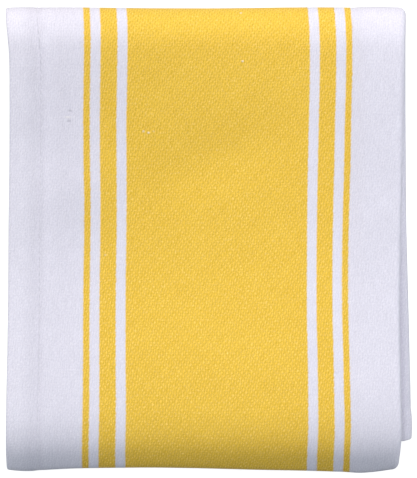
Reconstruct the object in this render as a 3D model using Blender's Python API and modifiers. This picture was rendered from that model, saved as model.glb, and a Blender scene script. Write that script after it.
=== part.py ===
"""A cotton tea towel, folded for a shelf and lying face up: in three across, then twice in half.

One hemmed cloth, made as one thin closed solid. It starts as a flat grid, whose lines across
and along the cloth are moved to their folded places, and it is thickened to its ply at the end.

Sizes are in millimetres in this file and the object is made in metres. X runs across the folded
towel, Y from its loose ends (-Y) to its main fold (+Y), and Z up, with the surface at Z = 0.

The strip. The fold in three makes a strip of three layers. Its outer layer runs from the sewn
side hem on the left to the side fold on the right, its inner layer comes back under it to the
tuck fold, and its middle layer lies between them, with the other side hem tucked in at the right.

The stack. Folded twice in half, the strip makes four lengths: bottom, lower, upper and top. The
cloth runs bottom, main fold, top, nose, upper, inner fold, lower. The nose is the first half
fold. It reaches past the two loose ends, which are hemmed too, and droops over them.
"""

import math

import bmesh
import bpy
import numpy as np

MM = 0.001

# Cloth
PLY = 1.0
HEM_PLY = 1.5
GAP = 0.45
HEM_WIDTH = 12.0

# Hem: distance from its folded edge, share of its extra thickness
HEM_PROFILE = ((0.0, 0.45), (5.0, 1.0), (10.2, 0.8), (HEM_WIDTH, 0.0))
HEM_BRIDGE = (10.0, 18.0)
END_BRIDGE = (11.0, 75.0)

# Folds
MAIN_FOLD_START = 74.4
MAIN_FOLD_REACH = 12.6
MAIN_FOLD_ROOM = 2.4
INNER_FOLD_Y = 73.5
NOSE_Y = -85.0
TIGHT_FOLD_BULGE = 0.3
SIDE_TUCK = 2.4
HEM_TUCK = 4.4

# Droop of the nose: where it starts, the cloth it takes, and its steepest angle
DROOP_Y = -66.8
DROOP_RUN = 24.0
DROOP_ANGLE = math.radians(59.0)
NOSE_FRONT = -88.0
NOSE_SHIFT_FROM = -40.0

BOTTOM, LOWER, UPPER, TOP = range(4)
OUTER, SIDE_FOLD, INNER, TUCK_FOLD, MIDDLE = range(5)
STRIP, MAIN_FOLD, NOSE, INNER_FOLD = range(4)
FROM_LEFT, SHARE, FROM_RIGHT, TURN = range(4)

# Loose end of each strip that has one: y
LOOSE_END = {BOTTOM: -77.5, LOWER: -68.6}

# Outline of each strip: y, left edge, right edge
OUTLINE = {
    TOP: (
        (-90.0, -77.4, 72.7),
        (-83.0, -77.8, 73.2),
        (-76.7, -77.75, 74.1),
        (-62.9, -77.55, 73.8),
        (-44.5, -77.2, 73.5),
        (-23.0, -76.9, 73.2),
        (3.9, -76.8, 73.6),
        (27.0, -76.45, 73.9),
        (50.0, -76.3, 74.3),
        (69.2, -76.3, 75.0),
        (75.3, -76.7, 75.2),
        (79.9, -77.4, 75.4),
        (84.6, -78.1, 75.6),
        (89.4, -78.4, 75.6),
    ),
    UPPER: (
        (-90.0, -77.0, 72.5),
        (-23.0, -76.4, 72.8),
        (50.0, -75.8, 73.9),
        (87.6, -76.4, 75.2),
    ),
    LOWER: (
        (-90.0, -76.0, 72.2),
        (-23.0, -75.7, 72.5),
        (50.0, -75.4, 73.7),
        (87.6, -76.0, 75.2),
    ),
    BOTTOM: (
        (-90.0, -74.3, 78.3),
        (-74.4, -74.4, 78.0),
        (-62.9, -74.5, 77.95),
        (-53.7, -74.6, 77.75),
        (-16.8, -74.9, 76.85),
        (10.0, -75.1, 76.15),
        (53.8, -75.6, 75.9),
        (75.3, -76.4, 75.9),
        (89.4, -78.2, 75.9),
    ),
}

# Back line of the main fold, from above: x, y
FOLD_OUTLINE = (
    (-78.0, 89.1),
    (-74.0, 88.85),
    (-68.6, 89.0),
    (-64.0, 89.5),
    (-57.0, 89.7),
    (-22.6, 89.3),
    (3.2, 89.25),
    (35.0, 89.65),
    (58.0, 89.1),
    (71.5, 89.0),
    (75.5, 88.7),
)

# Front line of the nose, from above: x, y
NOSE_OUTLINE = (
    (-78.0, -87.4),
    (-70.9, -88.5),
    (-63.3, -88.35),
    (-55.6, -87.3),
    (-41.8, -86.8),
    (-22.6, -86.5),
    (-7.2, -86.9),
    (2.0, -87.3),
    (21.2, -88.25),
    (36.6, -88.7),
    (54.0, -89.75),
    (59.6, -89.4),
    (65.8, -88.4),
    (69.6, -87.2),
    (72.7, -86.1),
    (74.0, -85.8),
)

# How far the bottom strip's loose end slopes back towards its corner: x, y, and where it starts
LOOSE_CORNER = ((0.0, 0.0), (74.8, 0.0), (77.2, 0.6), (78.4, 1.2))
CORNER_FROM = -60.0

# Where the layers lie loosely and the stack swells: x, y, spread in x, spread in y, share of GAP
SWELLS = (
    (0.0, 75.0, 600.0, 44.0, 0.85),
    (0.0, -95.0, 600.0, 42.0, 0.75),
    (64.0, 45.0, 14.0, 45.0, 0.20),
    (-28.0, -50.0, 30.0, 26.0, 0.12),
)

# Grid lines across a layer: from the left edge, shares of the width, from the right edge
HEM_LINES = (0.0, 5.0, 10.2, 12.0, 15.0)
LEFT_LINE = 20.0
ACROSS_LINES = (0.32, 0.5, 0.68)
RIGHT_LINES = (24.0, 14.5, 6.5)
SIDE_FOLD_STEPS = 6
TUCK_FOLD_STEPS = 4

# Grid lines along a strip: y, from a loose end, from the start of the droop, and on the bends
ALONG_LINES = (-54.0, -32.0, -11.0, 13.0, 39.0, 67.0)
END_LINES = (0.0, 5.0, 12.0)
DROOP_LINES = (0.0, 5.5, 10.0, 13.6, 16.6)
MAIN_FOLD_STEPS = 8
NOSE_STEPS = 6
INNER_FOLD_STEPS = 6

CLOTH_COLOUR = (0.80, 0.78, 0.80, 1.0)


def smooth(share):
    """0 to 1 with level ends."""
    share = np.clip(share, 0.0, 1.0)
    return share * share * (3.0 - 2.0 * share)


def column_at(table, column, at):
    """A column of a table at places between its rows, which run upwards in their first column."""
    return np.interp(at, [row[0] for row in table], [row[column] for row in table])


def air(x, y):
    """Gap between two layers, wider where the stack swells."""
    share = 1.0
    for at_x, at_y, wide, long, lift in SWELLS:
        share = share + lift * np.exp(-(((x - at_x) / wide) ** 2) - ((y - at_y) / long) ** 2)
    return GAP * share


def hem_ply(distance, _bridge=None):
    """Thickness of a hemmed layer, by distance from the hem's folded edge to past its seam."""
    return PLY + (HEM_PLY - PLY) * column_at(HEM_PROFILE, 1, distance)


def hem_room(distance, bridge=HEM_BRIDGE):
    """The room that it takes in the stack: the layers above bridge its seam softly."""
    start, end = bridge
    return HEM_PLY + (PLY - HEM_PLY) * smooth((distance - start) / (end - start))


def plies(strip, x, y, measure):
    """Thickness or room of a strip's outer, middle and inner layer, under its hems."""
    outer = measure(x - column_at(OUTLINE[strip], 1, y))
    middle = measure(column_at(OUTLINE[strip], 2, y) - HEM_TUCK - x)
    inner = np.full_like(outer, PLY)
    if strip in LOOSE_END:
        end = measure(y - LOOSE_END[strip], END_BRIDGE)
        return np.maximum(outer, end), np.maximum(middle, end), np.maximum(inner, end)
    return outer, middle, inner


def strip_height(wanted, x, y):
    """Height of a strip's middle layer, as the strip lies on all that is under it."""
    gap = air(x, y)
    top = -gap
    for strip in (BOTTOM, LOWER, UPPER, TOP):
        outer, middle, inner = plies(strip, x, y, hem_room)
        face_down, face_up = (outer, inner) if strip in (BOTTOM, UPPER) else (inner, outer)
        centre = top + gap + face_down + gap + middle / 2.0
        if strip == wanted:
            break
        top = centre + middle / 2.0 + gap + face_up
    return centre


def turn_shares(steps):
    return [step / steps for step in range(steps + 1)]


def section_lines():
    """Grid lines across the cloth: layer, how the place is measured, amount."""
    left_lines = HEM_LINES + (LEFT_LINE,)
    lines = [(OUTER, FROM_LEFT, x) for x in left_lines]
    lines += [(OUTER, SHARE, x) for x in ACROSS_LINES]
    lines += [(OUTER, FROM_RIGHT, x) for x in RIGHT_LINES]
    lines += [(SIDE_FOLD, TURN, share) for share in turn_shares(SIDE_FOLD_STEPS)]
    lines += [(INNER, FROM_RIGHT, x) for x in reversed(RIGHT_LINES)]
    lines += [(INNER, SHARE, x) for x in reversed(ACROSS_LINES)]
    lines += [(INNER, FROM_LEFT, x) for x in (LEFT_LINE, HEM_WIDTH)]
    lines += [(TUCK_FOLD, TURN, share) for share in turn_shares(TUCK_FOLD_STEPS)]
    lines += [(MIDDLE, FROM_LEFT, x) for x in (HEM_WIDTH, LEFT_LINE)]
    lines += [(MIDDLE, SHARE, x) for x in ACROSS_LINES]
    lines += [(MIDDLE, FROM_RIGHT, HEM_TUCK + x) for x in reversed(left_lines)]
    return np.array(lines)


def path_lines():
    """Grid lines along the cloth: run, strip it leaves, strip it enters, y or share of the turn."""
    lines = [(STRIP, BOTTOM, BOTTOM, LOOSE_END[BOTTOM] + y) for y in END_LINES]
    lines += [(STRIP, BOTTOM, BOTTOM, y) for y in ALONG_LINES]
    lines += [(MAIN_FOLD, BOTTOM, TOP, share) for share in turn_shares(MAIN_FOLD_STEPS)]
    lines += [(STRIP, TOP, TOP, y) for y in reversed(ALONG_LINES)]
    lines += [(STRIP, TOP, TOP, DROOP_Y - y) for y in DROOP_LINES]
    lines += [(NOSE, TOP, UPPER, share) for share in turn_shares(NOSE_STEPS)]
    lines += [(STRIP, UPPER, UPPER, DROOP_Y - y) for y in reversed(DROOP_LINES)]
    lines += [(STRIP, UPPER, UPPER, y) for y in ALONG_LINES]
    lines += [(INNER_FOLD, UPPER, LOWER, share) for share in turn_shares(INNER_FOLD_STEPS)]
    lines += [(STRIP, LOWER, LOWER, y) for y in reversed(ALONG_LINES)]
    lines += [(STRIP, LOWER, LOWER, LOOSE_END[LOWER] + y) for y in reversed(END_LINES)]
    return lines


def section(strip, x, y):
    """How far a strip's outer and inner layer lie to each side of its middle one, and its plies."""
    gap = air(x, y)
    room = plies(strip, x, y, hem_room)[1] / 2.0
    outer, middle, inner = plies(strip, x, y, hem_ply)
    outer_side = room + gap + outer / 2.0
    if strip == BOTTOM:
        outer_side = strip_height(BOTTOM, x, y) - outer / 2.0
    return outer_side, -room - gap - inner / 2.0, outer, middle, inner


def across_and_side(lines, left, right, y, before, after, turn):
    """Each grid line's x, its side of the strip's middle layer, and the cloth's thickness there."""
    layer, measured, amount = lines.T
    x = np.select(
        [measured == FROM_LEFT, measured == SHARE, measured == FROM_RIGHT, layer == SIDE_FOLD],
        [left + amount, left + (right - left) * amount, right - amount, right],
        left + SIDE_TUCK,
    )
    here = section(before, x, y)
    there = section(after, x, y)
    outer_side, inner_side, outer, middle, inner = (
        a + (b - a) * turn for a, b in zip(here, there)
    )
    cosine = np.cos(math.pi * amount)
    sine = np.sin(math.pi * amount)
    side_radius = (outer_side - inner_side) / 2.0
    tuck_radius = -inner_side / 2.0
    side = np.select(
        [layer == OUTER, layer == SIDE_FOLD, layer == INNER, layer == TUCK_FOLD],
        [
            outer_side,
            inner_side + side_radius * (1.0 + cosine),
            inner_side,
            -tuck_radius * (1.0 + cosine),
        ],
        0.0,
    )
    x = np.where(layer == SIDE_FOLD, x - inner / 2.0 - side_radius * (1.0 - sine), x)
    x = np.where(layer == TUCK_FOLD, x + inner / 2.0 + tuck_radius * (1.0 - sine), x)
    ply = np.select([layer == OUTER, layer == MIDDLE], [outer, middle], inner)
    return x, side, ply


def corner_shift(strip, x, y):
    """How far the bottom strip's loose end slopes back towards its corner."""
    if strip != BOTTOM:
        return np.zeros_like(x)
    return column_at(LOOSE_CORNER, 1, x) * smooth((CORNER_FROM - y) / (CORNER_FROM - LOOSE_END[BOTTOM]))


def place_line(line, lines_across):
    """Points and thickness of the cloth along one of its lines, before the nose droops."""
    run, before, after, amount = line
    turn = 0.0 if run == STRIP else amount
    sine, cosine = math.sin(math.pi * turn), math.cos(math.pi * turn)
    y = {STRIP: amount, MAIN_FOLD: MAIN_FOLD_START, NOSE: NOSE_Y, INNER_FOLD: INNER_FOLD_Y}[run]
    edge_y = y + (MAIN_FOLD_REACH * sine if run == MAIN_FOLD else 0.0)
    left, right = (
        (1.0 - turn) * column_at(OUTLINE[before], edge, edge_y)
        + turn * column_at(OUTLINE[after], edge, edge_y)
        for edge in (1, 2)
    )
    level_y = y if before in LOOSE_END else max(y, DROOP_Y)
    x, side, ply = across_and_side(lines_across, left, right, level_y, before, after, turn)

    from_z = strip_height(before, x, level_y)
    facing = {BOTTOM: -1.0, LOWER: 1.0, UPPER: -1.0, TOP: 1.0}[before]
    if run == STRIP:
        return x, y + corner_shift(before, x, y), from_z + side * facing, ply
    to_z = strip_height(after, x, level_y)
    radius = np.abs(to_z - from_z) / 2.0
    reach = column_at(FOLD_OUTLINE, 1, x) - MAIN_FOLD_ROOM - MAIN_FOLD_START
    if run != MAIN_FOLD:
        radius = radius + TIGHT_FOLD_BULGE
        reach = radius
    forward = -1.0 if run == NOSE else 1.0
    upward = 1.0 if run == MAIN_FOLD else -1.0
    normal_y = upward * radius * sine
    normal_z = facing * reach * cosine
    length = np.hypot(normal_y, normal_z)
    return (
        x,
        y + forward * reach * sine + side * normal_y / length,
        (from_z + to_z) / 2.0 - upward * radius * cosine + side * normal_z / length,
        ply,
    )


def droop(run):
    """The nose's curve, by the length of cloth past its start: along, down, angle."""
    steps = np.linspace(0.0, 2.0 * DROOP_RUN, 400)
    angle = DROOP_ANGLE * smooth(steps / DROOP_RUN)
    along = np.concatenate(([0.0], np.cumsum(np.cos(angle[:-1]) * steps[1])))
    down = np.concatenate(([0.0], np.cumsum(np.sin(angle[:-1]) * steps[1])))
    return [np.interp(run, steps, values) for values in (along, down, angle)]


def drooped(x, y, z):
    """The nose and what runs into it, moved to its front line and bent over the loose ends."""
    to_front = smooth((NOSE_SHIFT_FROM - y) / (NOSE_SHIFT_FROM - NOSE_FRONT))
    y = y + (column_at(NOSE_OUTLINE, 1, x) - NOSE_FRONT) * to_front
    middle = (strip_height(TOP, x, DROOP_Y) + strip_height(UPPER, x, DROOP_Y)) / 2.0
    along, down, angle = droop(np.maximum(DROOP_Y - y, 0.0))
    above = z - middle
    bent = y < DROOP_Y
    return (
        x,
        np.where(bent, DROOP_Y - along - above * np.sin(angle), y),
        np.where(bent, middle - down + above * np.cos(angle), z),
    )


def cloth_material():
    material = bpy.data.materials.new("tea_towel_cotton")
    material.use_nodes = True
    shader = material.node_tree.nodes["Principled BSDF"]
    shader.inputs["Base Color"].default_value = CLOTH_COLOUR
    shader.inputs["Roughness"].default_value = 0.9
    shader.inputs["Metallic"].default_value = 0.0
    return material


def folded_grid():
    """The flat cloth as a grid, with each of its lines moved to its folded place."""
    across = section_lines()
    along = path_lines()
    cloth = bmesh.new()
    bmesh.ops.create_grid(cloth, x_segments=len(across) - 1, y_segments=len(along) - 1, size=0.5)
    weight = cloth.verts.layers.deform.verify()
    rows = []
    for line in along:
        x, y, z, ply = place_line(line, across)
        if TOP in line[1:3] or UPPER in line[1:3]:
            x, y, z = drooped(x, y, z)
        rows.append((x, y, z, ply))
    for vertex in cloth.verts:
        column = round((vertex.co.x + 0.5) * (len(across) - 1))
        row = round((vertex.co.y + 0.5) * (len(along) - 1))
        x, y, z, ply = (values[column] for values in rows[row])
        vertex.co = (x * MM, y * MM, z * MM)
        vertex[weight][0] = ply / HEM_PLY
    mesh = bpy.data.meshes.new("towel")
    cloth.to_mesh(mesh)
    cloth.free()
    return mesh


def towel_object():
    towel = bpy.data.objects.new("towel", folded_grid())
    towel.data.materials.append(cloth_material())
    towel.vertex_groups.new(name="ply")
    thicken = towel.modifiers.new("ply", "SOLIDIFY")
    thicken.thickness = HEM_PLY * MM
    thicken.offset = 0.0
    thicken.use_even_offset = False
    thicken.use_rim = True
    thicken.vertex_group = "ply"
    return towel


def main():
    for old in list(bpy.data.objects):
        bpy.data.objects.remove(old, do_unlink=True)
    parts = bpy.data.collections.new("tea_towel")
    bpy.context.scene.collection.children.link(parts)
    parts.objects.link(towel_object())


main()
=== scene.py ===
"""Looks of a folded cotton tea towel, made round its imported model.

The cloth is folded here as it is in the model, on the same sizes and with many more lines, so
that its turned hems, soft creases and rounded edges are real shape. The stripes and the weave
follow the flat cloth's own coordinates through every fold.

Sizes are in millimetres and objects in metres. X runs across the folded towel, Y from its loose
ends to its main fold, and Z up.
"""

import math

import bpy
import numpy as np
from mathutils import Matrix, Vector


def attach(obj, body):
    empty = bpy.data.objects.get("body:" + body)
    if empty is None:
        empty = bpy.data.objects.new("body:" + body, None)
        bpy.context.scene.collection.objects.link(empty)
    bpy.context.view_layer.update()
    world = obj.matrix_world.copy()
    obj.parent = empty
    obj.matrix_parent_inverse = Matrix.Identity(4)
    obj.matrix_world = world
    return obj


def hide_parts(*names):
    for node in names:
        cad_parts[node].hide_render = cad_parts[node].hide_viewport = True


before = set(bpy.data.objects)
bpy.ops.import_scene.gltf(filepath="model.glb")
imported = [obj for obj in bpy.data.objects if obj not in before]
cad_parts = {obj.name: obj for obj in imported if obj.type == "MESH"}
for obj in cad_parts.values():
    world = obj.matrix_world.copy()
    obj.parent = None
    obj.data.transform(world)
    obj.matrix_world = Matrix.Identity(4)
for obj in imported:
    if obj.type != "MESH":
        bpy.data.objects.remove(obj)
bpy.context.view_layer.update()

MM = 0.001

# Cloth, as in the model
PLY = 1.0
HEM_PLY = 1.5
GAP = 0.45
HEM_BRIDGE = (10.0, 18.0)
END_BRIDGE = (11.0, 75.0)

# Folds, as in the model: where each starts and how far it reaches
MAIN_FOLD_START = 74.4
MAIN_FOLD_REACH = 12.6
MAIN_FOLD_ROOM = 2.4
INNER_FOLD_Y = 73.5
NOSE_Y = -85.0
TIGHT_FOLD_BULGE = 0.3
SIDE_TUCK = 2.4
HEM_TUCK = 4.4
DROOP_Y = -66.8
DROOP_RUN = 24.0
DROOP_ANGLE = math.radians(59.0)
NOSE_FRONT = -88.0
NOSE_SHIFT_FROM = -40.0

BOTTOM, LOWER, UPPER, TOP = range(4)
OUTER, SIDE_FOLD, INNER, TUCK_FOLD, MIDDLE = range(5)
STRIP, MAIN_FOLD, NOSE, INNER_FOLD = range(4)
FROM_LEFT, SHARE, FROM_RIGHT, TURN = range(4)

# Loose end of each strip that has one: y
LOOSE_END = {BOTTOM: -77.5, LOWER: -68.6}

# Outline of each strip, the top one's a little finer than the model's: y, left edge, right edge
OUTLINE = {
    TOP: (
        (-90.0, -77.4, 72.7),
        (-83.0, -77.8, 73.2),
        (-76.7, -77.75, 74.1),
        (-62.9, -77.55, 73.8),
        (-44.5, -77.2, 73.5),
        (-23.0, -76.9, 73.2),
        (3.9, -76.8, 73.75),
        (27.0, -76.45, 74.2),
        (50.0, -76.3, 74.7),
        (69.2, -76.3, 75.2),
        (75.3, -76.7, 75.2),
        (79.9, -77.4, 75.4),
        (84.6, -78.1, 75.6),
        (89.4, -78.4, 75.6),
    ),
    UPPER: (
        (-90.0, -77.0, 72.5),
        (-23.0, -76.4, 72.8),
        (50.0, -75.8, 73.9),
        (87.6, -76.4, 75.2),
    ),
    LOWER: (
        (-90.0, -76.0, 72.2),
        (-23.0, -75.7, 72.5),
        (50.0, -75.4, 73.7),
        (87.6, -76.0, 75.2),
    ),
    BOTTOM: (
        (-90.0, -74.3, 78.3),
        (-74.4, -74.4, 78.0),
        (-62.9, -74.5, 77.95),
        (-53.7, -74.6, 77.75),
        (-16.8, -74.9, 76.85),
        (10.0, -75.1, 76.15),
        (53.8, -75.6, 75.9),
        (75.3, -76.4, 75.9),
        (89.4, -78.2, 75.9),
    ),
}

# Back line of the main fold, from above, a little finer than the model's: x, y
FOLD_OUTLINE = (
    (-78.0, 89.1),
    (-74.0, 88.85),
    (-68.6, 89.0),
    (-64.0, 89.5),
    (-57.0, 89.7),
    (-22.6, 89.3),
    (3.2, 89.25),
    (35.0, 89.65),
    (46.0, 89.65),
    (58.0, 89.45),
    (71.5, 89.5),
    (75.5, 89.05),
)

# Front line of the nose, from above: x, y
NOSE_OUTLINE = (
    (-78.0, -87.4),
    (-70.9, -88.5),
    (-63.3, -88.35),
    (-55.6, -87.3),
    (-41.8, -86.8),
    (-22.6, -86.5),
    (-7.2, -86.9),
    (2.0, -87.3),
    (21.2, -88.25),
    (36.6, -88.7),
    (54.0, -89.75),
    (59.6, -89.4),
    (65.8, -88.4),
    (69.6, -87.2),
    (72.7, -86.1),
    (74.0, -85.8),
)

# How far the bottom strip's loose end slopes back towards its corner: x, y, and where it starts
LOOSE_CORNER = ((0.0, 0.0), (74.8, 0.0), (77.2, 0.6), (78.4, 1.2))
CORNER_FROM = -60.0
CORNER_ROUNDING = 0.6

# Where the layers lie loosely and the stack swells: x, y, spread in x, spread in y, share of GAP
SWELLS = (
    (0.0, 75.0, 600.0, 44.0, 0.85),
    (0.0, -95.0, 600.0, 42.0, 0.75),
    (64.0, 45.0, 14.0, 45.0, 0.20),
    (-28.0, -50.0, 30.0, 26.0, 0.12),
)

# Soft creases and dents of the top layer: x, y, direction in degrees, half length, half width, height
CREASES = (
    (0.0, 29.5, 23.0, 30.0, 12.0, -1.90),
    (-51.4, 18.5, 20.0, 24.0, 12.0, 1.80),
    (-45.0, 74.0, 0.0, 34.0, 14.0, 0.70),
    (-68.6, 36.7, 0.0, 8.0, 9.0, -0.45),
    (58.0, -59.0, 0.0, 16.0, 9.0, 0.60),
    (69.0, 8.0, 0.0, 9.0, 8.0, 0.45),
)

# Lines across the cloth, past a hem's edge and as shares of its width
HEM_LINES = (
    0.0, 0.12, 0.35, 0.7, 1.2, 2.0, 3.2, 4.6, 6.0, 7.4, 8.7, 9.7, 10.4, 10.9, 11.3, 11.7, 12.1,
    12.7, 13.6, 15.0,
)  # fmt: skip
LEFT_LINES = (17.0, 19.0)
RIGHT_LINES = (24.0, 22.3, 20.6, 18.9, 17.2, 15.5, 13.8, 12.1, 10.4, 8.7, 7.0, 5.5, 4.2, 3.2)
FINE_SHARES = np.linspace(0.14, 0.835, 64)
COARSE_SHARES = np.linspace(0.2, 0.8, 9)
SIDE_FOLD_STEPS = 12
TUCK_FOLD_STEPS = 8

# Lines along the cloth
FINE_STEP = 1.7
COARSE_STEP = 6.0
MAIN_FOLD_STEPS = 22
NOSE_STEPS = 14
INNER_FOLD_STEPS = 10

# Hem: width of its rounded edge and the thickness there, as a share
EDGE_ROUND = 0.7
EDGE_SHARE = 0.15

# Hem: how far each side of it rises, then distance from the edge and share of that rise
HEM_RISE = 0.42
HEM_ROUNDING = 0.4
HEM_PROFILE = (
    (0.0, 0.25),
    (1.0, 0.55),
    (2.6, 0.86),
    (5.0, 1.0),
    (7.4, 0.95),
    (10.0, 0.66),
    (11.4, 0.16),
    (12.1, -0.26),
    (12.9, 0.06),
    (14.2, 0.0),
)

# Tone across a side hem, its lighter doubled cloth partly painted light on the hem's rounded side, and a
# painted shade beside its seam: where a change starts and ends, from the edge, and its size
HEM_TONE_AND_SEAM_SHADE = (
    (14.6, 12.2, -0.028),
    (10.6, 3.6, 0.070),
)

# Seam: distance from the edge, its stitches, and a stitch's height over the cloth from end to end
SEAM = 12.1
STITCH_PITCH = 2.9
STITCH_LENGTH = 2.3
STITCH_ARCH = (-0.25, 0.08, 0.12, 0.08, -0.25)
THREAD_RADIUS = 0.15
THREAD_SIDES = 5

# Stripes: middle of a band, spacing of the bands, and each edge's distance from the band's middle
BAND_MIDDLE = 80.3
BAND_SPACING = 144.8
STRIPE_EDGES = (34.9, 38.66, 45.0, 48.78, 51.3)
STRIPE_SOFTNESS = 0.26

# Where the outer edges of the wide stripe and of the band run on the top strip: y, then their x
STRIPE_RUN = (
    (-82.5, -48.65, -32.03, 37.69, 54.18),
    (-71.0, -48.38, -31.77, 38.13, 54.59),
    (-59.4, -48.23, -31.73, 38.13, 54.30),
    (-46.0, -48.15, -31.91, 37.99, 54.03),
    (-30.6, -48.19, -31.92, 37.65, 53.61),
    (-15.3, -48.09, -31.86, 37.65, 53.49),
    (0.1, -47.84, -31.64, 37.71, 53.68),
    (15.4, -47.76, -31.59, 37.84, 54.06),
    (30.8, -48.04, -31.58, 38.09, 54.53),
    (46.2, -48.15, -31.61, 38.42, 54.69),
    (61.5, -47.97, -31.30, 38.78, 55.11),
    (75.0, -47.81, -31.11, 38.75, 55.16),
    (83.8, -47.69, -30.91, 38.67, 55.21),
)
RUN_ROUNDING = 3.0
RUN_EDGES = (
    BAND_MIDDLE - STRIPE_EDGES[4],
    BAND_MIDDLE - STRIPE_EDGES[0],
    BAND_MIDDLE + STRIPE_EDGES[0],
    BAND_MIDDLE + STRIPE_EDGES[4],
)

# Colours, linear
WHITE = (0.752, 0.722, 0.822, 1.0)
YELLOW = (0.83, 0.52, 0.048, 1.0)
PALE = (0.90, 0.84, 0.78, 1.0)
THREAD_WHITE = (0.74, 0.73, 0.79, 1.0)

# Weave: waves across the cloth, in turns per millimetre across and along it, and their share
WEAVE_WAVES = (
    (1.034, 0.190, 0.42),
    (0.521, 0.557, 0.24),
    (-0.513, 0.370, 0.13),
    (0.008, 0.927, 0.15),
    (0.174, 0.182, 0.06),
)

# How far the waves wander, and the size of that noise, in turns per millimetre
SWAY = 0.6
SWAY_SCALE = 0.45

# Noise in the cloth: turns per millimetre across and along it, detail, roughness
NOISES = {
    "yarn": (2.4, 0.16, 2.0, 0.5),
    "weft": (0.10, 1.1, 2.0, 0.5),
    "fibre": (6.0, 2.5, 3.0, 0.7),
    "cloud": (0.06, 0.06, 3.0, 0.6),
    "ragged": (0.3, 1.1, 3.0, 0.5),
    "fuzz": (1.9, 1.1, 3.0, 0.7),
}

# How much each noise changes the tone, and what differs on the white and on the yellow; the weave's grain
# tone is painted shade, darker in the weave's hollows and lighter on its crests
TONES = {"yarn": 0.16, "weft": 0.04, "cloud": 0.06, "fuzz": 0.26}
FIBRE_TONE = (0.42, 0.78)
GRAIN_PAINTED_SHADE = (0.045, 0.14)

# Loose fibres that pale the cloth: where they start and are whole in their noise, and their share
FUZZ = (0.50, 0.72, 0.16)

# Relief of the weave on the white and on the yellow, of the noises, and of the knots
GRAIN_HEIGHT = (0.013, 0.027)
NOISE_HEIGHTS = {"fibre": 0.03, "yarn": 0.03}
SLUB_HEIGHT = 0.5

# How far the stripes' edges wander with the weft and with the weave
RAGGED = 0.5
RAGGED_GRAIN = 0.10

CLOTH_FINISH = {
    "Roughness": 0.85,
    "Specular IOR Level": 0.35,
    "Sheen Weight": 0.5,
    "Sheen Roughness": 0.3,
}

# Knots in the yarn, and pits: place across and along the flat cloth, half sizes, height
SLUBS = (
    (51.98, 223.58, 0.50, 0.45, 0.24),
    (53.90, 224.11, 0.55, 0.42, 0.28),
    (55.81, 223.50, 0.40, 0.35, 0.12),
    (89.44, 196.56, 0.50, 0.40, 0.28),
    (89.35, 176.92, 0.50, 0.40, 0.28),
    (37.25, 271.47, 0.50, 0.45, 0.12),
    (23.79, 216.53, 0.75, 0.55, -0.30),
    (23.00, 218.83, 1.50, 0.40, 0.12),
    (23.39, 220.37, 0.80, 0.60, -0.32),
)
SLUB_FADE = (0.2, 1.5)
SLUB_PALE = 2.4
# Painted shade in the pits, by their depth
PIT_SHADE = 0.45

# Thread: its twist in turns per metre, and its finish
THREAD_TWIST = 2500.0
THREAD_FINISH = {"Roughness": 0.7}

# Lights: name, place in metres, size in metres, power in watts, colour, all aimed at one point
LIGHTS = (
    ("key", (-0.20, 0.95, 0.84), (0.9, 0.4), 9.3, (1.0, 0.94, 0.89)),
    ("fill", (1.05, 0.40, 0.50), (0.6, 0.6), 4.8, (0.96, 0.985, 1.0)),
    ("back", (0.10, 1.30, 0.16), (0.8, 0.25), 2.6, (1.0, 0.97, 0.95)),
    ("left", (-0.95, -0.02, 0.11), (0.5, 0.15), 1.4, (0.96, 0.975, 1.0)),
)

LIGHT_AIM = (0.0, 0.0, 0.01)

# Soft pools of light from above: x and y in metres, cone in degrees, power in watts
POOL_HEIGHT = 1.2
POOL_SOFTNESS = 0.1
POOLS = (
    ("pool", -0.008, -0.056, 10.0, 13.0),
    ("small_pool", 0.070, 0.042, 8.0, 15.0),
)

# Light from all round: colour, strength from above and from below, height where they meet
SKY_COLOUR = (0.85, 0.945, 1.0, 1.0)
SKY_STRENGTH = 0.47
UNDER_STRENGTH = 0.14
HORIZON = 0.1

# Floor: pale paper that glows a little, so that it stays as pale as the photograph's
FLOOR_SIZE = 12.0
FLOOR_FINISH = {
    "Base Color": (0.5, 0.5, 0.5, 1.0),
    "Roughness": 0.95,
    "Emission Color": (1.0, 1.0, 1.0, 1.0),
    "Emission Strength": 0.82,
}

# Camera: the photograph's frame, its scale on the plane at FRAME_Z, and the camera's distance
FRAME_PIXELS = (417, 478)
PIXEL = 0.384
FRAME_CENTRE = (-0.1, 0.46)
FRAME_Z = 14.0
CAMERA_DISTANCE = 2500.0
SENSOR = 24.0


# ---------------------------------------------------------------- folding, as in the model


def smooth(share):
    """0 to 1 with level ends."""
    share = np.clip(share, 0.0, 1.0)
    return share * share * (3.0 - 2.0 * share)


def column_at(table, column, at, rounding=5.0):
    """A column of a table at places between its rows, with the corners at its rows rounded."""
    places = [row[0] for row in table]
    values = [row[column] for row in table]
    around = rounding * np.linspace(-1.0, 1.0, 5)
    return sum(np.interp(at + aside, places, values) for aside in around) / len(around)


def air(x, y):
    """Gap between two layers, wider where the stack swells."""
    share = 1.0
    for at_x, at_y, wide, long, lift in SWELLS:
        share = share + lift * np.exp(-(((x - at_x) / wide) ** 2) - ((y - at_y) / long) ** 2)
    return GAP * share


def hem_room(distance, bridge=HEM_BRIDGE):
    """The room that a hemmed layer takes in the stack: the layers above bridge its seam softly."""
    start, end = bridge
    return HEM_PLY + (PLY - HEM_PLY) * smooth((distance - start) / (end - start))


def plies(strip, x, y):
    """Room of a strip's outer, middle and inner layer, under its hems."""
    outer = hem_room(x - column_at(OUTLINE[strip], 1, y))
    middle = hem_room(column_at(OUTLINE[strip], 2, y) - HEM_TUCK - x)
    inner = np.full_like(outer, PLY)
    if strip in LOOSE_END:
        end = hem_room(y - LOOSE_END[strip], END_BRIDGE)
        return np.maximum(outer, end), np.maximum(middle, end), np.maximum(inner, end)
    return outer, middle, inner


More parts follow.
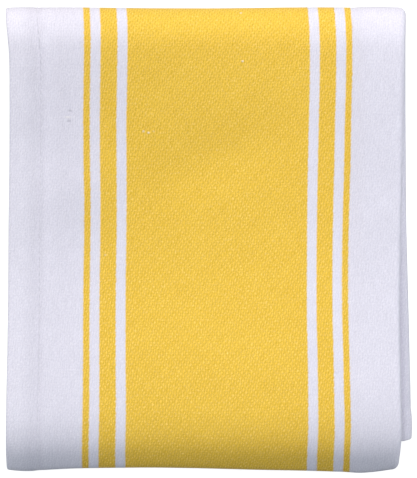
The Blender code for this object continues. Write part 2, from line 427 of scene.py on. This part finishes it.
def strip_height(wanted, x, y):
    """Height of a strip's middle layer, as the strip lies on all that is under it."""
    gap = air(x, y)
    top = -gap
    for strip in (BOTTOM, LOWER, UPPER, TOP):
        outer, middle, inner = plies(strip, x, y)
        face_down, face_up = (outer, inner) if strip in (BOTTOM, UPPER) else (inner, outer)
        centre = top + gap + face_down + gap + middle / 2.0
        if strip == wanted:
            break
        top = centre + middle / 2.0 + gap + face_up
    return centre


def spaced(start, end, step):
    """Places from start to end, both in, at most a step apart."""
    return list(np.linspace(start, end, math.ceil(abs(end - start) / step) + 1))


def turn_shares(steps):
    return [step / steps for step in range(steps + 1)]


def section_lines():
    """Grid lines across the cloth: layer, how the place is measured, amount."""
    left_lines = HEM_LINES + LEFT_LINES
    lines = [(OUTER, FROM_LEFT, x) for x in left_lines]
    lines += [(OUTER, SHARE, x) for x in FINE_SHARES]
    lines += [(OUTER, FROM_RIGHT, x) for x in RIGHT_LINES]
    lines += [(SIDE_FOLD, TURN, share) for share in turn_shares(SIDE_FOLD_STEPS)]
    lines += [(INNER, FROM_RIGHT, x) for x in RIGHT_LINES[:0:-3]]
    lines += [(INNER, SHARE, x) for x in COARSE_SHARES[::-1]]
    lines += [(INNER, FROM_LEFT, x) for x in (LEFT_LINES[0], HEM_BRIDGE[0])]
    lines += [(TUCK_FOLD, TURN, share) for share in turn_shares(TUCK_FOLD_STEPS)]
    lines += [(MIDDLE, FROM_LEFT, x) for x in (HEM_BRIDGE[0], LEFT_LINES[0])]
    lines += [(MIDDLE, SHARE, x) for x in COARSE_SHARES]
    lines += [(MIDDLE, FROM_RIGHT, HEM_TUCK + x) for x in reversed(left_lines)]
    return np.array(lines)


def path_lines():
    """Grid lines along the cloth: run, strip it leaves, strip it enters, y or share of the turn."""
    fine = spaced(MAIN_FOLD_START - FINE_STEP, DROOP_Y + FINE_STEP, FINE_STEP)
    lines = [(STRIP, BOTTOM, BOTTOM, LOOSE_END[BOTTOM] + y) for y in HEM_LINES]
    lines += [(STRIP, BOTTOM, BOTTOM, y) for y in spaced(-58.0, MAIN_FOLD_START - FINE_STEP, COARSE_STEP)]
    lines += [(MAIN_FOLD, BOTTOM, TOP, share) for share in turn_shares(MAIN_FOLD_STEPS)]
    lines += [(STRIP, TOP, TOP, y) for y in fine]
    lines += [(STRIP, TOP, TOP, y) for y in spaced(DROOP_Y, NOSE_Y + FINE_STEP, FINE_STEP)]
    lines += [(NOSE, TOP, UPPER, share) for share in turn_shares(NOSE_STEPS)]
    lines += [(STRIP, UPPER, UPPER, y) for y in spaced(NOSE_Y + FINE_STEP, DROOP_Y, 2 * FINE_STEP)]
    lines += [(STRIP, UPPER, UPPER, y) for y in spaced(-60.0, INNER_FOLD_Y - 3.0, COARSE_STEP)]
    lines += [(INNER_FOLD, UPPER, LOWER, share) for share in turn_shares(INNER_FOLD_STEPS)]
    lines += [(STRIP, LOWER, LOWER, y) for y in spaced(INNER_FOLD_Y - 3.0, -50.0, COARSE_STEP)]
    lines += [(STRIP, LOWER, LOWER, LOOSE_END[LOWER] + y) for y in reversed(HEM_LINES)]
    return lines


def section(strip, x, y):
    """How far a strip's outer and inner layer lie to each side of its middle one."""
    middle = plies(strip, x, y)[1]
    inner_side = -middle / 2.0 - air(x, y) - PLY / 2.0
    if strip == BOTTOM:
        return strip_height(BOTTOM, x, y) - PLY / 2.0, inner_side
    return -inner_side, inner_side


def across_and_side(lines, left, right, y, before, after, turn):
    """Each grid line's x, and its side of the strip's middle layer."""
    layer, measured, amount = lines.T
    x = np.select(
        [measured == FROM_LEFT, measured == SHARE, measured == FROM_RIGHT, layer == SIDE_FOLD],
        [left + amount, left + (right - left) * amount, right - amount, right],
        left + SIDE_TUCK,
    )
    here = section(before, x, y)
    there = section(after, x, y)
    outer_side, inner_side = (a + (b - a) * turn for a, b in zip(here, there))
    cosine = np.cos(math.pi * amount)
    sine = np.sin(math.pi * amount)
    side_radius = (outer_side - inner_side) / 2.0
    tuck_radius = -inner_side / 2.0
    side = np.select(
        [layer == OUTER, layer == SIDE_FOLD, layer == INNER, layer == TUCK_FOLD],
        [
            outer_side,
            inner_side + side_radius * (1.0 + cosine),
            inner_side,
            -tuck_radius * (1.0 + cosine),
        ],
        0.0,
    )
    x = np.where(layer == SIDE_FOLD, x - PLY / 2.0 - side_radius * (1.0 - sine), x)
    x = np.where(layer == TUCK_FOLD, x + PLY / 2.0 + tuck_radius * (1.0 - sine), x)
    return x, side


def corner_shift(strip, x, y):
    """How far the bottom strip's loose end slopes back towards its corner."""
    if strip != BOTTOM:
        return np.zeros_like(x)
    slope = column_at(LOOSE_CORNER, 1, x, CORNER_ROUNDING)
    return slope * smooth((CORNER_FROM - y) / (CORNER_FROM - LOOSE_END[BOTTOM]))


def place_line(line, lines_across):
    """The cloth's middle surface along one of its lines, before the nose droops."""
    run, before, after, amount = line
    turn = 0.0 if run == STRIP else amount
    sine, cosine = math.sin(math.pi * turn), math.cos(math.pi * turn)
    y = {STRIP: amount, MAIN_FOLD: MAIN_FOLD_START, NOSE: NOSE_Y, INNER_FOLD: INNER_FOLD_Y}[run]
    edge_y = y + (MAIN_FOLD_REACH * sine if run == MAIN_FOLD else 0.0)
    left, right = (
        (1.0 - turn) * column_at(OUTLINE[before], edge, edge_y)
        + turn * column_at(OUTLINE[after], edge, edge_y)
        for edge in (1, 2)
    )
    level_y = y if before in LOOSE_END else max(y, DROOP_Y)
    x, side = across_and_side(lines_across, left, right, level_y, before, after, turn)

    from_z = strip_height(before, x, level_y)
    facing = {BOTTOM: -1.0, LOWER: 1.0, UPPER: -1.0, TOP: 1.0}[before]
    if run == STRIP:
        return x, y + corner_shift(before, x, y), from_z + side * facing
    to_z = strip_height(after, x, level_y)
    radius = np.abs(to_z - from_z) / 2.0
    reach = column_at(FOLD_OUTLINE, 1, x) - MAIN_FOLD_ROOM - MAIN_FOLD_START
    if run != MAIN_FOLD:
        radius = radius + TIGHT_FOLD_BULGE
        reach = radius
    forward = -1.0 if run == NOSE else 1.0
    upward = 1.0 if run == MAIN_FOLD else -1.0
    normal_y = upward * radius * sine
    normal_z = facing * reach * cosine
    length = np.hypot(normal_y, normal_z)
    return (
        x,
        y + forward * reach * sine + side * normal_y / length,
        (from_z + to_z) / 2.0 - upward * radius * cosine + side * normal_z / length,
    )


def droop(run):
    """The nose's curve, by the length of cloth past its start: along, down, angle."""
    steps = np.linspace(0.0, 2.0 * DROOP_RUN, 400)
    angle = DROOP_ANGLE * smooth(steps / DROOP_RUN)
    along = np.concatenate(([0.0], np.cumsum(np.cos(angle[:-1]) * steps[1])))
    down = np.concatenate(([0.0], np.cumsum(np.sin(angle[:-1]) * steps[1])))
    return [np.interp(run, steps, values) for values in (along, down, angle)]


def drooped(x, y, z):
    """The nose and what runs into it, moved to its front line and bent over the loose ends."""
    to_front = smooth((NOSE_SHIFT_FROM - y) / (NOSE_SHIFT_FROM - NOSE_FRONT))
    y = y + (column_at(NOSE_OUTLINE, 1, x) - NOSE_FRONT) * to_front
    middle = (strip_height(TOP, x, DROOP_Y) + strip_height(UPPER, x, DROOP_Y)) / 2.0
    along, down, angle = droop(np.maximum(DROOP_Y - y, 0.0))
    above = z - middle
    bent = y < DROOP_Y
    return (
        x,
        np.where(bent, DROOP_Y - along - above * np.sin(angle), y),
        np.where(bent, middle - down + above * np.cos(angle), z),
    )


# ---------------------------------------------------------------- the cloth's own relief


def creases(x, y):
    """Height of the top layer's soft creases and dents."""
    height = np.zeros_like(x)
    for at_x, at_y, direction, long, wide, lift in CREASES:
        angle = math.radians(direction)
        along = (x - at_x) * math.cos(angle) + (y - at_y) * math.sin(angle)
        aside = (y - at_y) * math.cos(angle) - (x - at_x) * math.sin(angle)
        height += lift * np.exp(-((along / long) ** 2) - (aside / wide) ** 2)
    return height


def arc_lengths(points, axis):
    """Length of cloth up to each grid point along one axis of the grid."""
    steps = np.linalg.norm(np.diff(points, axis=axis), axis=2)
    zero = np.zeros_like(steps.take([0], axis=axis))
    return np.cumsum(np.concatenate((zero, steps), axis=axis), axis=axis)


def grid_normals(points):
    """Unit normals of the cloth's face side."""
    across = np.gradient(points, axis=1)
    along = np.gradient(points, axis=0)
    normals = np.cross(along, across)
    return normals / np.linalg.norm(normals, axis=2, keepdims=True)


def woven_across(points, across, along, widths):
    """Place across the flat cloth: the stripes wander a little on the top strip, as it was laid."""
    woven = widths.copy()
    outer = across[:, 0] == OUTER
    end_of_outer = np.nonzero(outer)[0][-1]
    for row, (run, before, after, amount) in enumerate(along):
        top_share = 0.0
        if run == STRIP and before == TOP:
            top_share = 1.0
        elif run == MAIN_FOLD:
            top_share = amount
        elif run == NOSE:
            top_share = 1.0 - amount
        x = points[row, outer, 0]
        y = points[row, outer, 1].mean()
        edges = [column_at(STRIPE_RUN, column, y, RUN_ROUNDING) for column in (1, 2, 3, 4)]
        laid = np.interp(
            x,
            [x[0], *edges, x[-1]],
            [0.0, *RUN_EDGES, widths[row, end_of_outer]],
        )
        woven[row, outer] += top_share * (laid - woven[row, outer])
    return woven


def folded_cloth():
    """The cloth's middle surface, its normals, its lengths from each edge and its woven places."""
    across = section_lines()
    along = path_lines()
    rows = []
    for line in along:
        x, y, z = place_line(line, across)
        if TOP in line[1:3] or UPPER in line[1:3]:
            x, y, z = drooped(x, y, z)
        rows.append(np.stack((x, y, z), axis=1))
    points = np.array(rows)
    share = np.clip(points[..., 2] / points[..., 2].max(), 0.0, 1.0)
    points[..., 2] += share**2 * creases(points[..., 0], points[..., 1])
    widths = arc_lengths(points, 1)
    lengths = arc_lengths(points, 0)
    woven = np.stack((woven_across(points, across, along, widths), lengths), axis=2)
    edges = np.stack((widths, widths[:, -1:] - widths, lengths, lengths[-1:] - lengths), axis=2)
    return {
        "points": points,
        "normals": grid_normals(points),
        "edge": edges.min(axis=2),
        "woven": woven,
    }


def half_thickness(edge):
    """From the middle surface to either side, by distance from the cloth's turned edge."""
    turned = np.clip(edge / EDGE_ROUND, 0.0, 1.0)
    rounded = EDGE_SHARE + (1.0 - EDGE_SHARE) * np.sqrt(1.0 - (1.0 - turned) ** 2)
    return rounded * (PLY / 2.0 + HEM_RISE * column_at(HEM_PROFILE, 1, edge, HEM_ROUNDING))


def closed_sheet(points, normals, thickness):
    """Vertices and faces of the sheet: its face side, its back and the rim that joins them."""
    rows, columns = thickness.shape
    aside = normals * thickness[..., None]
    vertices = np.concatenate(((points + aside).reshape(-1, 3), (points - aside).reshape(-1, 3)))
    index = np.arange(rows * columns).reshape(rows, columns)
    face = np.stack((index[:-1, :-1], index[1:, :-1], index[1:, 1:], index[:-1, 1:]), axis=2)
    back = face[..., ::-1] + rows * columns
    loop = np.concatenate((index[:-1, 0], index[-1, :-1], index[:0:-1, -1], index[0, :0:-1]))
    after = np.roll(loop, -1)
    rim = np.stack((after, loop, loop + rows * columns, after + rows * columns), axis=1)
    return vertices, np.concatenate((face.reshape(-1, 4), back.reshape(-1, 4), rim))


def mesh_object(name, vertices, faces, material):
    mesh = bpy.data.meshes.new(name)
    mesh.from_pydata((vertices * MM).tolist(), [], faces.tolist())
    mesh.materials.append(material)
    mesh.shade_smooth()
    made = bpy.data.objects.new(name, mesh)
    bpy.context.scene.collection.objects.link(made)
    return made


def towel_piece(cloth, material):
    thickness = half_thickness(cloth["edge"])
    vertices, faces = closed_sheet(cloth["points"], cloth["normals"], thickness)
    vertices[:, 2] = np.maximum(vertices[:, 2], 0.0)
    towel = mesh_object("towel_cloth", vertices, faces, material)
    woven = cloth["woven"].reshape(-1, 2)
    places = np.zeros((len(vertices), 3), np.float32)
    places[:, :2] = np.concatenate((woven, woven))
    attribute = towel.data.attributes.new("woven", "FLOAT_VECTOR", "POINT")
    attribute.data.foreach_set("vector", places.ravel())
    return towel


# ---------------------------------------------------------------- seams


def seam_paths(cloth):
    """The line of each hem's seam: points and normals on the cloth's middle surface."""
    points, normals = cloth["points"], cloth["normals"]
    line = HEM_LINES.index(SEAM)
    paths = [(points[:, column], normals[:, column]) for column in (line, -1 - line)]
    paths += [(points[row], normals[row]) for row in (line, -1 - line)]
    return paths


def thread_tubes(centre, normal):
    """Vertices and faces of open tubes round lines of points, from the points and the normals there."""
    threads, rings = centre.shape[:2]
    turn = np.linspace(0.0, 2.0 * math.pi, THREAD_SIDES, endpoint=False)[:, None]
    ahead = np.gradient(centre, axis=1)
    ahead /= np.linalg.norm(ahead, axis=2, keepdims=True)
    aside = np.cross(ahead, normal)
    aside /= np.linalg.norm(aside, axis=2, keepdims=True)
    up = np.cross(aside, ahead)
    ring = aside[:, :, None, :] * np.cos(turn) + up[:, :, None, :] * np.sin(turn)
    points = centre[:, :, None, :] + THREAD_RADIUS * ring

    index = np.arange(threads * rings * THREAD_SIDES).reshape(threads, rings, THREAD_SIDES)
    low, high = index[:, :-1], index[:, 1:]
    quads = np.stack((low, np.roll(low, -1, 2), np.roll(high, -1, 2), high), axis=3)
    return points.reshape(-1, 3), quads.reshape(-1, 4)


def stitches(path, normals):
    """Vertices and faces of one seam's stitches on both sides of the cloth, each a short thread."""
    length = np.concatenate(([0.0], np.cumsum(np.linalg.norm(np.diff(path, axis=0), axis=1))))
    starts = np.arange(STITCH_PITCH, length[-1] - STITCH_PITCH, STITCH_PITCH)
    lift = PLY / 2.0 + np.array(STITCH_ARCH)
    share = np.linspace(0.0, 1.0, len(lift))
    vertices, faces = [], []
    for side, offset in ((1.0, 0.0), (-1.0, STITCH_PITCH / 2.0)):
        at = starts[:, None] + STITCH_LENGTH * share[None, :] + offset
        centre = np.stack([np.interp(at, length, path[:, i]) for i in range(3)], axis=2)
        normal = np.stack([np.interp(at, length, normals[:, i]) for i in range(3)], axis=2)
        normal /= np.linalg.norm(normal, axis=2, keepdims=True)
        points, quads = thread_tubes(centre + side * normal * lift[None, :, None], normal)
        faces.append(quads + sum(len(v) for v in vertices))
        vertices.append(points)
    return np.concatenate(vertices), np.concatenate(faces)


def stitching_piece(cloth, material):
    vertices, faces, count = [], [], 0
    for path, normals in seam_paths(cloth):
        points, quads = stitches(path, normals)
        vertices.append(points)
        faces.append(quads + count)
        count += len(points)
    points = np.concatenate(vertices)
    points[:, 2] = np.maximum(points[:, 2], 0.0)
    return mesh_object("hem_stitching", points, np.concatenate(faces), material)


# ---------------------------------------------------------------- materials


class Graph:
    """A material's nodes, with short calls for the ones used here."""

    def __init__(self, name):
        self.material = bpy.data.materials.new(name)
        self.material.use_nodes = True
        self.tree = self.material.node_tree
        self.shader = self.tree.nodes["Principled BSDF"]

    def node(self, kind, inputs=(), **settings):
        made = self.tree.nodes.new("ShaderNode" + kind)
        for name, value in settings.items():
            setattr(made, name, value)
        for key, value in dict(inputs).items():
            self.feed(made.inputs[key], value)
        return made

    def feed(self, socket, value):
        if isinstance(value, bpy.types.NodeSocket):
            self.tree.links.new(value, socket)
        else:
            socket.default_value = value

    def math(self, operation, *values, clamp=False):
        made = self.node("Math", dict(enumerate(values)), operation=operation, use_clamp=clamp)
        return made.outputs[0]

    def vector(self, operation, *values):
        return self.node("VectorMath", dict(enumerate(values)), operation=operation)

    def mix(self, factor, first, second):
        """One colour or the other: sockets 6 and 7 are the colours, and output 2 is theirs."""
        made = self.node("Mix", {"Factor": factor, 6: first, 7: second}, data_type="RGBA")
        return made.outputs[2]

    def finish(self, values):
        """Constants of the surface, set on the shader's own sockets."""
        for name, value in values.items():
            self.shader.inputs[name].default_value = value

    def noise(self, place, scale, detail=2.0, rough=0.5):
        inputs = {"Vector": place, "Scale": scale, "Detail": detail, "Roughness": rough}
        return self.node("TexNoise", inputs).outputs["Fac"]


def weave_height(graph, place):
    """Height of the weave's grains, from about -1 to 1."""
    height = 0.0
    for across, along, share in WEAVE_WAVES:
        turns = graph.vector("DOT_PRODUCT", place, (across, along, 0.0)).outputs["Value"]
        wave = graph.math("COSINE", graph.math("MULTIPLY", turns, 2.0 * math.pi))
        height = graph.math("MULTIPLY_ADD", wave, share, height)
    return height


def slub_height(graph, woven):
    """Height of the knots and pits, from their own table."""
    height = 0.0
    whole, gone = SLUB_FADE
    for across, along, wide, long, lift in SLUBS:
        aside = graph.vector("SUBTRACT", woven, (across, along, 0.0)).outputs[0]
        aside = graph.vector("MULTIPLY", aside, (1.0 / wide, 1.0 / long, 0.0)).outputs[0]
        distance = graph.vector("LENGTH", aside).outputs["Value"]
        near = graph.node(
            "MapRange",
            {"Value": distance, "From Min": whole, "From Max": gone, "To Min": lift, "To Max": 0.0},
            interpolation_type="SMOOTHSTEP",
        )
        height = graph.math("ADD", near.outputs[0], height)
    return height


def stripe_mask(graph, across):
    """1 on the yellow stripes and 0 on the white."""
    half = BAND_SPACING / 2.0
    into_band = graph.math("FLOORED_MODULO", graph.math("ADD", across, half - BAND_MIDDLE), BAND_SPACING)
    aside = graph.math("ABSOLUTE", graph.math("SUBTRACT", into_band, half))
    mask = 0.0
    for edge, sign in zip(STRIPE_EDGES, (-1.0, 1.0, -1.0, 1.0, -1.0)):
        past = graph.node(
            "MapRange",
            {"Value": aside, "From Min": edge - STRIPE_SOFTNESS, "From Max": edge + STRIPE_SOFTNESS},
        ).outputs[0]
        mask = graph.math("MULTIPLY_ADD", past, sign, mask if edge != STRIPE_EDGES[0] else 1.0)
    return mask


def hem_tone_and_seam_shade(graph, across):
    """A side hem's doubled cloth lets less light through, so it is lighter, partly as painted light, with
    a painted shade beside its seam.
    """
    middle = BAND_MIDDLE + BAND_SPACING
    from_middle = graph.math("ABSOLUTE", graph.math("SUBTRACT", across, middle))
    tone = 0.0
    for start, end, change in HEM_TONE_AND_SEAM_SHADE:
        past = graph.node(
            "MapRange",
            {"Value": from_middle, "From Min": middle - start, "From Max": middle - end, "To Max": change},
            interpolation_type="SMOOTHSTEP",
        )
        tone = graph.math("ADD", past.outputs[0], tone)
    return tone


def woven_noise(graph, place, name):
    across, along, detail, rough = NOISES[name]
    scaled = graph.vector("MULTIPLY", place, (across, along, 1.0)).outputs[0]
    return graph.noise(scaled, 1.0, detail, rough)


def by_stripe(graph, mask, pair):
    """The first value on the white, the second on the yellow."""
    return graph.math("MULTIPLY_ADD", mask, pair[1] - pair[0], pair[0])


def cloth_tone(graph, noises, mask, grain, slubs, hem):
    """How light the cloth is, about 1, with painted shade in the weave's hollows, in its pits and beside a
    hem's seam.
    """
    # Start from the hem's tone: partly painted light, with a painted shade beside its seam.
    tone = hem
    for name, strength in TONES.items():
        tone = graph.math("SUBTRACT", tone, strength / 2.0)
        tone = graph.math("MULTIPLY_ADD", noises[name], strength, tone)
    speckle = graph.math("SUBTRACT", noises["fibre"], 0.5)
    speckle = graph.math("MULTIPLY", speckle, by_stripe(graph, mask, FIBRE_TONE))
    # Painted shade of the weave: darker in its hollows and lighter on its crests.
    grain_shade = graph.math("MULTIPLY", grain, by_stripe(graph, mask, GRAIN_PAINTED_SHADE))
    tone = graph.math("ADD", tone, graph.math("ADD", speckle, grain_shade))
    # Painted shade in the pits, by their depth.
    pit = graph.math("MINIMUM", slubs, 0.0)
    tone = graph.math("MULTIPLY_ADD", pit, PIT_SHADE, tone)
    return graph.math("ADD", tone, 1.0)


def cloth_colour(graph, noises, mask, slubs, tone):
    """White and yellow, paler where fibres stand up and at knots, and deeper where it is darker."""
    start, whole, share = FUZZ
    fuzz = graph.node(
        "MapRange", {"Value": noises["fuzz"], "From Min": start, "From Max": whole, "To Max": share}
    ).outputs[0]
    knot = graph.math("MULTIPLY", slubs, SLUB_PALE, clamp=True)
    base = WHITE
    for factor, colour in ((mask, YELLOW), (fuzz, PALE), (knot, PALE)):
        base = graph.mix(factor, base, colour)
    deeper = graph.node("Gamma", {"Color": base, "Gamma": graph.math("SUBTRACT", 2.0, tone)})
    scaled = graph.vector("SCALE", deeper.outputs[0])
    graph.feed(scaled.inputs["Scale"], tone)
    return scaled.outputs[0]


def cloth_relief(graph, noises, mask, grain, slubs):
    height = graph.math("MULTIPLY", grain, by_stripe(graph, mask, GRAIN_HEIGHT))
    for name, strength in NOISE_HEIGHTS.items():
        height = graph.math("MULTIPLY_ADD", noises[name], strength, height)
    height = graph.math("MULTIPLY_ADD", slubs, SLUB_HEIGHT, height)
    return graph.node("Bump", {"Height": height, "Strength": 1.0, "Distance": MM}).outputs[0]


def cotton():
    graph = Graph("tea_towel_cotton")
    woven = graph.node("Attribute", attribute_name="woven").outputs["Vector"]
    sway = graph.node("TexNoise", {"Vector": woven, "Scale": SWAY_SCALE, "Detail": 2.0})
    sway = graph.vector(
        "MULTIPLY_ADD", sway.outputs["Color"], (2.0 * SWAY, 2.0 * SWAY, 0.0), (-SWAY, -SWAY, 0.0)
    )
    place = graph.vector("ADD", woven, sway.outputs[0]).outputs[0]
    grain = weave_height(graph, place)
    slubs = slub_height(graph, woven)
    noises = {name: woven_noise(graph, place if name == "fuzz" else woven, name) for name in NOISES}

    across = graph.node("SeparateXYZ", {"Vector": woven}).outputs["X"]
    edge = graph.math("SUBTRACT", across, RAGGED / 2.0)
    edge = graph.math("MULTIPLY_ADD", noises["ragged"], RAGGED, edge)
    edge = graph.math("MULTIPLY_ADD", grain, RAGGED_GRAIN, edge)
    mask = stripe_mask(graph, edge)

    tone = cloth_tone(graph, noises, mask, grain, slubs, hem_tone_and_seam_shade(graph, across))
    graph.feed(graph.shader.inputs["Base Color"], cloth_colour(graph, noises, mask, slubs, tone))
    graph.feed(graph.shader.inputs["Normal"], cloth_relief(graph, noises, mask, grain, slubs))
    graph.finish(CLOTH_FINISH)
    return graph.material


def thread():
    graph = Graph("hem_thread")
    place = graph.node("TexCoord").outputs["Object"]
    twist = graph.noise(place, THREAD_TWIST)
    graph.feed(graph.shader.inputs["Base Color"], graph.mix(twist, WHITE, THREAD_WHITE))
    bump = graph.node("Bump", {"Height": twist, "Strength": 0.6, "Distance": 0.05 * MM})
    graph.feed(graph.shader.inputs["Normal"], bump.outputs[0])
    graph.finish(THREAD_FINISH)
    return graph.material


# ---------------------------------------------------------------- studio


def aim(obj, place, target):
    obj.location = place
    direction = (np.array(target) - np.array(place)).tolist()
    obj.rotation_euler = Vector(direction).to_track_quat("-Z", "Y").to_euler()


def area_light(name, place, size, power, colour):
    data = bpy.data.lights.new(name, "AREA")
    data.shape = "RECTANGLE"
    data.size, data.size_y = size
    data.energy = power
    data.color = colour
    light = bpy.data.objects.new(name, data)
    bpy.context.scene.collection.objects.link(light)
    aim(light, place, LIGHT_AIM)


def sky():
    """Soft light from all round, weaker from below."""
    world = bpy.data.worlds.new("studio")
    bpy.context.scene.world = world
    world.use_nodes = True
    tree = world.node_tree
    background = tree.nodes["Background"]
    background.inputs["Color"].default_value = SKY_COLOUR
    direction = tree.nodes.new("ShaderNodeTexCoord").outputs["Generated"]
    height = tree.nodes.new("ShaderNodeSeparateXYZ")
    tree.links.new(direction, height.inputs[0])
    strength = tree.nodes.new("ShaderNodeMapRange")
    strength.interpolation_type = "SMOOTHSTEP"
    tree.links.new(height.outputs["Z"], strength.inputs["Value"])
    for name, value in (
        ("From Min", -HORIZON),
        ("From Max", HORIZON),
        ("To Min", UNDER_STRENGTH),
        ("To Max", SKY_STRENGTH),
    ):
        strength.inputs[name].default_value = value
    tree.links.new(strength.outputs[0], background.inputs["Strength"])


def pool_of_light(name, x, y, cone, power):
    data = bpy.data.lights.new(name, "SPOT")
    data.spot_size = math.radians(cone)
    data.spot_blend = 1.0
    data.shadow_soft_size = POOL_SOFTNESS
    data.energy = power
    light = bpy.data.objects.new(name, data)
    bpy.context.scene.collection.objects.link(light)
    aim(light, (x, y, POOL_HEIGHT), (x, y, 0.0))


def studio():
    floor_material = Graph("floor_paper")
    floor_material.finish(FLOOR_FINISH)
    bpy.ops.mesh.primitive_plane_add(size=FLOOR_SIZE, location=(0.0, 0.0, 0.0))
    floor = bpy.context.object
    floor.name = "floor"
    floor.data.materials.append(floor_material.material)
    floor.visible_diffuse = False
    floor.visible_glossy = False

    sky()
    for pool in POOLS:
        pool_of_light(*pool)
    for light in LIGHTS:
        area_light(*light)
    bpy.context.scene.view_settings.view_transform = "Standard"


def camera():
    data = bpy.data.cameras.new("camera")
    data.sensor_fit = "VERTICAL"
    data.sensor_height = SENSOR
    data.lens = SENSOR * CAMERA_DISTANCE / (FRAME_PIXELS[1] * PIXEL)
    data.clip_end = 20.0
    made = bpy.data.objects.new("camera", data)
    x, y = FRAME_CENTRE
    made.location = (x * MM, y * MM, (FRAME_Z + CAMERA_DISTANCE) * MM)
    bpy.context.scene.collection.objects.link(made)
    bpy.context.scene.camera = made


def main():
    camera()
    studio()
    cloth = folded_cloth()
    towel = towel_piece(cloth, cotton())
    stitching = stitching_piece(cloth, thread())
    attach(towel, "root")
    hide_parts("towel")
    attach(stitching, "root")


main()
